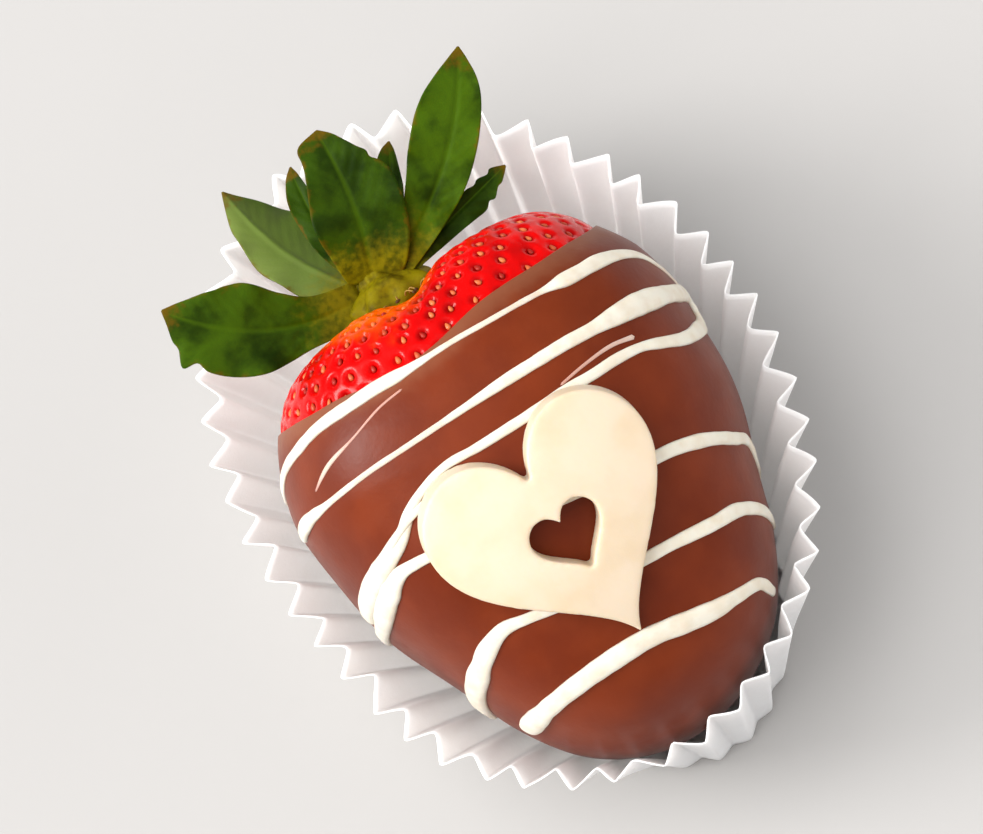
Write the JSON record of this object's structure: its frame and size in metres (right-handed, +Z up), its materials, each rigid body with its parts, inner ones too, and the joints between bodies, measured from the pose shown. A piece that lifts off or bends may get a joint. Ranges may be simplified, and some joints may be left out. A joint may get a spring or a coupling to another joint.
{
  "type": "chocolate coated strawberry",
  "caption": "Fresh strawberry dipped in milk chocolate with ivory drizzle and a white chocolate heart, lying on its side in a fluted white paper case.",
  "frame": {"origin": "on the ground, at the middle of the flat base of the paper case", "axes": "+Z up; +Y along the berry towards its leaves, -Y towards its tip; +X to the right as seen from the tip"},
  "size_m": [0.0538, 0.0736, 0.0409],
  "materials": {
    "strawberry_flesh": "moist glossy red skin with pits and pale seeds, orange-red round the leaves",
    "milk_chocolate": "tempered milk chocolate, satin",
    "white_chocolate": "cream white chocolate, satin",
    "leaf": "deep green sepals, glossy inside, paler and matt outside, with olive-brown tips",
    "case_paper": "white greaseproof paper, pressed into flutes"
  },
  "bodies": {
    "root": {"strawberry": "strawberry_flesh", "chocolate_coat": "milk_chocolate", "heart": "white_chocolate", "leaf_crown": "leaf", "paper_case": "case_paper"}
  },
  "joints": []
}
